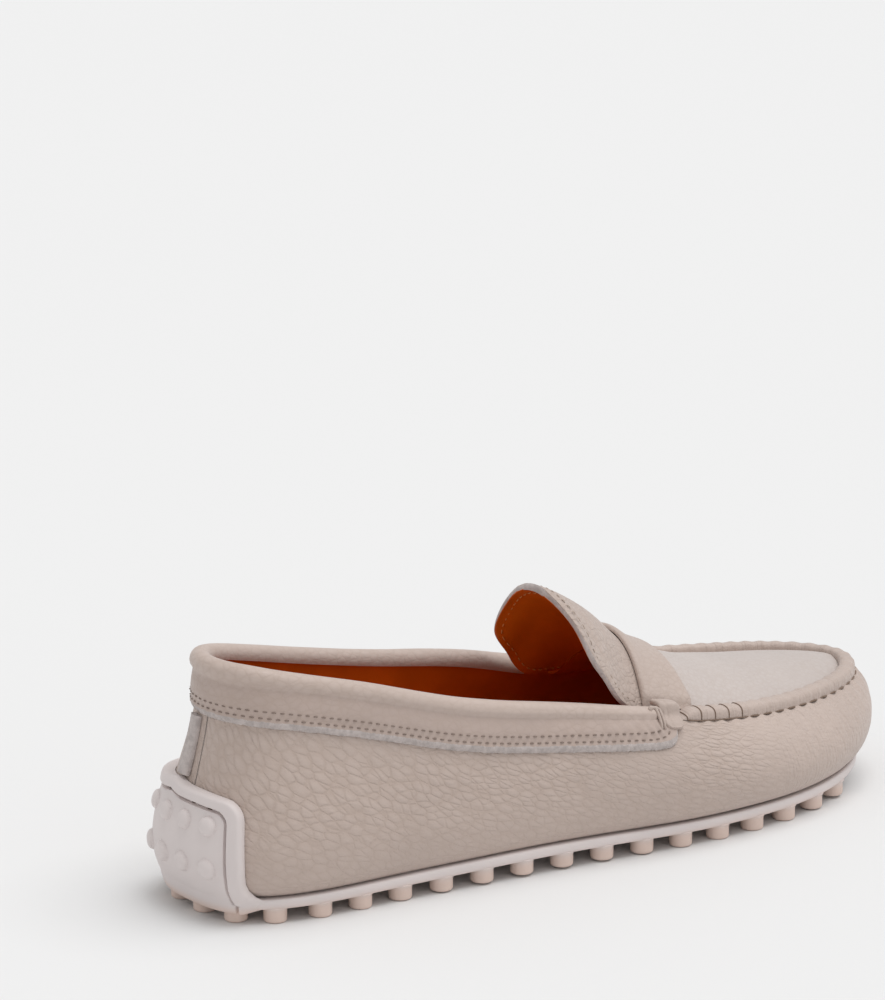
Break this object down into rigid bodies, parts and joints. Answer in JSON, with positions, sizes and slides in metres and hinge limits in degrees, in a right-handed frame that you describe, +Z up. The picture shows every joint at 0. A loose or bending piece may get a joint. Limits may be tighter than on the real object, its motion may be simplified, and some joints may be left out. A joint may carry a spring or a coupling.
{
  "type": "driving moccasin",
  "caption": "Right slip-on driving moccasin with a studded rubber sole that climbs the heel, a raised apron seam, a saddle strap and a lined tongue.",
  "frame": {"origin": "bottom centre of the whole shoe's box, on the floor that the studs stand on", "axes": "+Y towards the toe, +X towards the outer side of the right foot, +Z up"},
  "size_m": [0.0972, 0.2882, 0.087],
  "materials": {
    "pale_rubber": "smooth matt pinkish-white rubber",
    "greige_leather": "soft pebbled greige leather with a low sheen and raw suede edges",
    "tan_lining": "smooth orange-tan lining leather"
  },
  "bodies": {
    "root": {"outsole": "pale_rubber", "upper": "greige_leather", "tongue": "greige_leather", "strap": "greige_leather", "strap_end_outer": "greige_leather", "strap_end_inner": "greige_leather", "collar_band": "greige_leather", "back_strip": "greige_leather", "insole": "tan_lining"}
  },
  "joints": []
}
